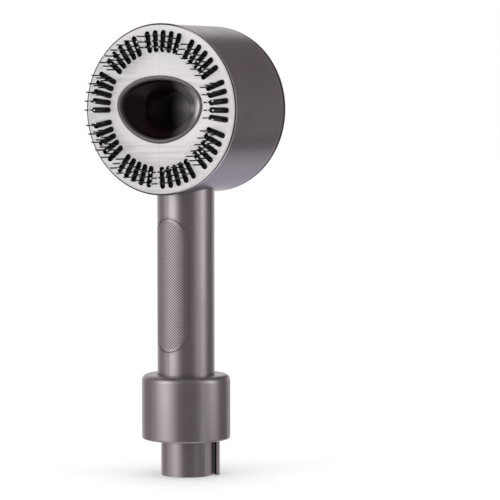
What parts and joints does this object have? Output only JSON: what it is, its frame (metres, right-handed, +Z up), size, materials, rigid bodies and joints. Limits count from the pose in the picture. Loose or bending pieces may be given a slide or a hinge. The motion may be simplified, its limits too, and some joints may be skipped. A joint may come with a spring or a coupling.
{
  "type": "vacuum pet grooming brush",
  "caption": "Handheld vacuum grooming brush: drum head with slotted face, wire bristles that slide out through it, suction mouth, rear thumb button, tube handle and vacuum adapter.",
  "frame": {"origin": "centre of the lower spigot's bore, in its open end face", "axes": "+Z up along the handle, -Y the way the slotted face and its bristles point, +X to the right of someone who looks at that face"},
  "size_m": [0.0944, 0.0748, 0.2517],
  "materials": {
    "gunmetal_plastic": "metallic gunmetal, satin",
    "silver_plate": "satin silver",
    "silver_cover": "satin silver",
    "button_plastic": "satin dark grey",
    "grip_rubber": "knurled soft grip",
    "black_rubber": "matt",
    "black_plastic": "moulded black",
    "bristle_steel": "dark oxide wire",
    "spring_steel": "drawn wire",
    "screw_steel": "zinc plated"
  },
  "bodies": {
    "adapter": {"adapter_collar": "gunmetal_plastic", "adapter_spigot": "gunmetal_plastic", "thrust_seal": "black_rubber", "collar_screws": "screw_steel"},
    "brush": {"handle_tube": "gunmetal_plastic", "grip_pad": "grip_rubber", "neck_seal": "black_rubber", "drum_housing": "gunmetal_plastic", "front_bezel": "gunmetal_plastic", "face_plate": "silver_plate", "mouth_funnel": "gunmetal_plastic", "air_box": "black_plastic", "guide_chassis": "black_plastic", "chassis_screws": "screw_steel", "air_box_screws": "screw_steel", "rear_cover": "silver_cover"},
    "carrier": {"thumb_button": "button_plastic", "push_frame": "black_plastic", "carrier_ring": "black_plastic", "ring_screws": "screw_steel", "return_spring": "spring_steel", "bristle_pad_1": "black_rubber", "bristle_pad_2": "black_rubber", "bristle_pad_3": "black_rubber", "bristle_pad_4": "black_rubber", "bristle_pad_5": "black_rubber", "bristle_pad_6": "black_rubber", "bristle_pad_7": "black_rubber", "bristle_pad_8": "black_rubber", "bristle_pad_9": "black_rubber", "bristles_1": "bristle_steel", "bristles_2": "bristle_steel", "bristles_3": "bristle_steel", "bristles_4": "bristle_steel", "bristles_5": "bristle_steel", "bristles_6": "bristle_steel", "bristles_7": "bristle_steel", "bristles_8": "bristle_steel", "bristles_9": "bristle_steel"}
  },
  "joints": [
    {"name": "handle_swivel", "type": "hinge", "parent": "adapter", "child": "brush", "pos_m": [0, 0, 0.04], "axis": [0, 0, 1], "continuous": true},
    {"name": "button_slide", "type": "slide", "parent": "brush", "child": "carrier", "axis": [0, 1, 0], "range_m": [0, 0.0135], "stiffness_N_per_m": 400, "springref_m": 0.02, "deforming": ["return_spring"]}
  ]
}
